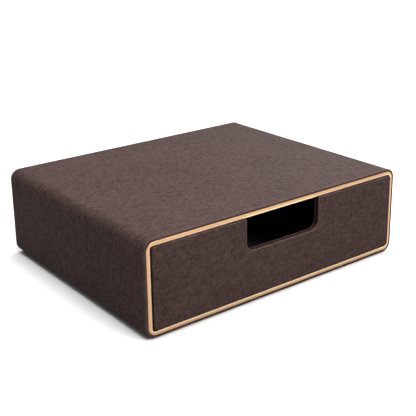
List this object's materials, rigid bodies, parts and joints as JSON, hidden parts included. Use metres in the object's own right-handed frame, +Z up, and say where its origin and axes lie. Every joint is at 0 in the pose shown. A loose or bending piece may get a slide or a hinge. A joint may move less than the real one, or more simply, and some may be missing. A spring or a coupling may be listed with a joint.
{
  "type": "file box with drawer",
  "caption": "Leather-covered desk box for flat papers: a sleeve case with rounded long edges, a gilt front trim and a sliding drawer with a finger notch.",
  "frame": {"origin": "on the surface the box stands on, under the middle of its width and depth", "axes": "+X to the right seen from the front, +Y from the front to the rear, +Z up; the drawer opens towards -Y"},
  "size_m": [0.33, 0.268, 0.098],
  "materials": {
    "board": "raw fibreboard",
    "brown_leather": "satin, embossed with a linen weave",
    "gilt_trim": "satin champagne gold",
    "black_velvet": "short pile",
    "base_felt": "pressed felt"
  },
  "bodies": {
    "case": {"case_top_board": "board", "case_bottom_board": "board", "case_left_board": "board", "case_right_board": "board", "case_back_board": "board", "case_leather_wrap": "brown_leather", "case_back_leather": "brown_leather", "front_trim": "gilt_trim", "case_lining_floor": "black_velvet", "case_lining_ceiling": "black_velvet", "case_lining_left": "black_velvet", "case_lining_right": "black_velvet", "case_lining_back": "black_velvet", "base_cloth": "base_felt"},
    "drawer": {"drawer_front_board": "board", "drawer_front_leather": "brown_leather", "drawer_front_wall": "board", "drawer_front_wall_leather": "brown_leather", "drawer_left_wall": "board", "drawer_right_wall": "board", "drawer_back_wall": "board", "drawer_bottom_board": "board", "drawer_leather": "brown_leather", "drawer_lining_floor": "black_velvet", "drawer_lining_left": "black_velvet", "drawer_lining_right": "black_velvet", "drawer_lining_front": "black_velvet", "drawer_lining_back": "black_velvet"}
  },
  "joints": [
    {"name": "drawer_slide", "type": "slide", "parent": "case", "child": "drawer", "axis": [0, -1, 0], "range_m": [0, 0.2]}
  ]
}
